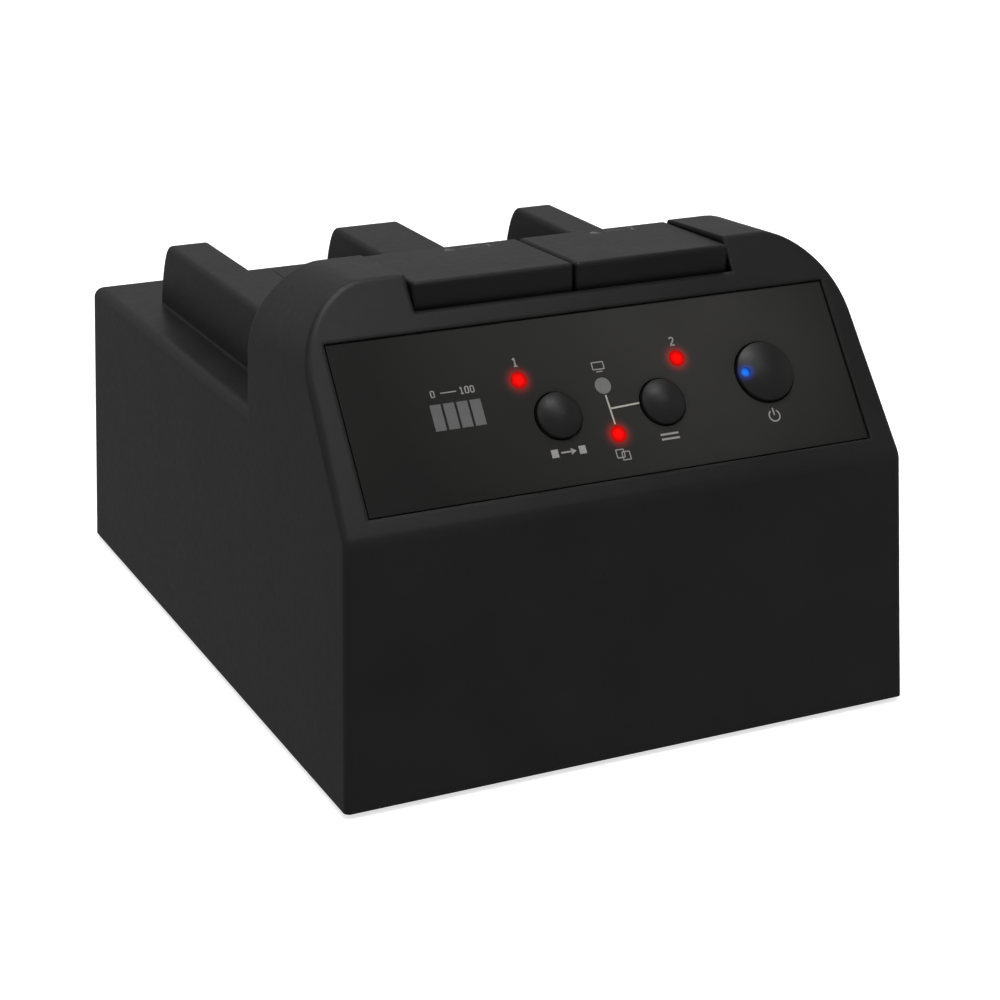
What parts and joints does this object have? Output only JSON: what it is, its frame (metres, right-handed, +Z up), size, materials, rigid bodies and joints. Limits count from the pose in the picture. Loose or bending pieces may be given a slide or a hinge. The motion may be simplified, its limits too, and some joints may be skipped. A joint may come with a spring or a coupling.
{
  "type": "drive duplicator",
  "caption": "Desktop dock with a sloping control face, two spring-doored upright drive slots behind a raised hump, and two eject keys on the hump.",
  "frame": {"origin": "centre of the footprint, on the surface the rubber feet stand on", "axes": "+Z up, front control face towards -Y, +X to the right as seen from the front"},
  "size_m": [0.153, 0.206, 0.1163],
  "materials": {
    "case_plastic": "fine moulded texture",
    "base_plastic": "plain moulded",
    "foot_rubber": "soft matt",
    "panel_film": "satin printed film",
    "key_plastic": "fine moulded texture",
    "button_plastic": "satin",
    "door_plastic": "fine moulded texture",
    "lever_plastic": "plain moulded",
    "steel": "zinc plated",
    "spring_steel": "drawn wire",
    "red_lens": "translucent, lit",
    "clear_lens": "frosted translucent",
    "blue_light": "translucent, lit",
    "board_green": "solder resist",
    "connector_plastic": "plain moulded",
    "gold_contact": "gold flash",
    "nickel_plate": "nickel plated",
    "led_white": "small lamp bodies",
    "capacitor_can": "sleeved can",
    "spacer_nylon": "plain",
    "cable_pvc": "flat ribbon"
  },
  "bodies": {
    "case": {"base_plate": "base_plastic", "base_screws": "steel", "board_screws": "steel", "board_socket": "connector_plastic", "bracket_screws": "steel", "bridge_chips": "connector_plastic", "capacitors": "capacitor_can", "connector_contacts": "gold_contact", "copy_lamp": "red_lens", "data_port_shell": "nickel_plate", "data_port_tongue": "connector_plastic", "door_hinge_rods": "steel", "flat_cable": "cable_pvc", "front_board": "board_green", "front_board_screws": "steel", "front_board_spacers": "spacer_nylon", "key_bracket": "base_plastic", "left_bay_guide": "base_plastic", "left_drive_connector": "connector_plastic", "left_key_spring": "spring_steel", "lever_pins": "steel", "main_board": "board_green", "panel_leds": "led_white", "panel_overlay": "panel_film", "pc_lamp": "clear_lens", "power_inlet": "connector_plastic", "power_inlet_pin": "nickel_plate", "progress_light_bars": "clear_lens", "right_bay_guide": "base_plastic", "right_drive_connector": "connector_plastic", "right_key_spring": "spring_steel", "rubber_feet": "foot_rubber", "source_lamp": "red_lens", "tact_switches": "connector_plastic", "target_lamp": "red_lens", "top_shell": "case_plastic"},
    "duplicate_button": {"duplicate_button": "button_plastic", "duplicate_plunger": "connector_plastic"},
    "mode_button": {"mode_button": "button_plastic", "mode_plunger": "connector_plastic"},
    "power_button": {"power_button": "button_plastic", "power_light_pipe": "blue_light", "power_plunger": "connector_plastic"},
    "left_eject_key": {"left_eject_key": "key_plastic"},
    "right_eject_key": {"right_eject_key": "key_plastic"},
    "left_eject_lever": {"left_eject_lever": "lever_plastic"},
    "right_eject_lever": {"right_eject_lever": "lever_plastic"},
    "left_front_door": {"left_front_door": "door_plastic", "left_front_door_spring": "spring_steel"},
    "right_front_door": {"right_front_door": "door_plastic", "right_front_door_spring": "spring_steel"},
    "left_rear_door": {"left_rear_door": "door_plastic", "left_rear_door_spring": "spring_steel"},
    "right_rear_door": {"right_rear_door": "door_plastic", "right_rear_door_spring": "spring_steel"}
  },
  "joints": [
    {"name": "duplicate_button_press", "type": "slide", "parent": "case", "child": "duplicate_button", "axis": [0, 0.8039, -0.5948], "range_m": [0, 0.0009], "stiffness_N_per_m": 900, "springref_m": -0.0006},
    {"name": "mode_button_press", "type": "slide", "parent": "case", "child": "mode_button", "axis": [0, 0.8039, -0.5948], "range_m": [0, 0.0009], "stiffness_N_per_m": 900, "springref_m": -0.0006},
    {"name": "power_button_press", "type": "slide", "parent": "case", "child": "power_button", "axis": [0, 0.8039, -0.5948], "range_m": [0, 0.0009], "stiffness_N_per_m": 900, "springref_m": -0.0006},
    {"name": "left_key_press", "type": "slide", "parent": "case", "child": "left_eject_key", "axis": [0, 0, -1], "range_m": [0, 0.007], "stiffness_N_per_m": 250, "springref_m": -0.005, "deforming": ["left_key_spring"]},
    {"name": "right_key_press", "type": "slide", "parent": "case", "child": "right_eject_key", "axis": [0, 0, -1], "range_m": [0, 0.007], "stiffness_N_per_m": 250, "springref_m": -0.005, "deforming": ["right_key_spring"]},
    {"name": "left_lever_rock", "type": "hinge", "parent": "case", "child": "left_eject_lever", "pos_m": [-0.0292, -0.042, 0.023], "axis": [1, 0, 0], "range_deg": [0, 25.32]},
    {"name": "right_lever_rock", "type": "hinge", "parent": "case", "child": "right_eject_lever", "pos_m": [0.0292, -0.042, 0.023], "axis": [1, 0, 0], "range_deg": [0, 25.32]},
    {"name": "left_front_door_swing", "type": "hinge", "parent": "case", "child": "left_front_door", "pos_m": [-0.0476, -0.001, 0.0917], "axis": [0, 1, 0], "range_deg": [0, 87], "stiffness_Nm_per_rad": 0.004, "springref_deg": -28.65},
    {"name": "left_rear_door_swing", "type": "hinge", "parent": "case", "child": "left_rear_door", "pos_m": [-0.0476, 0.0505, 0.0739], "axis": [0, 1, 0], "range_deg": [0, 87], "stiffness_Nm_per_rad": 0.004, "springref_deg": -28.65},
    {"name": "right_front_door_swing", "type": "hinge", "parent": "case", "child": "right_front_door", "pos_m": [0.0476, -0.001, 0.0917], "axis": [0, -1, 0], "range_deg": [0, 87], "stiffness_Nm_per_rad": 0.004, "springref_deg": -28.65},
    {"name": "right_rear_door_swing", "type": "hinge", "parent": "case", "child": "right_rear_door", "pos_m": [0.0476, 0.0505, 0.0739], "axis": [0, -1, 0], "range_deg": [0, 87], "stiffness_Nm_per_rad": 0.004, "springref_deg": -28.65}
  ],
  "couplings": [
    {"joint": "left_lever_rock", "follows": "left_key_press", "rad_per_m": 63.01},
    {"joint": "right_lever_rock", "follows": "right_key_press", "rad_per_m": 63.01}
  ]
}
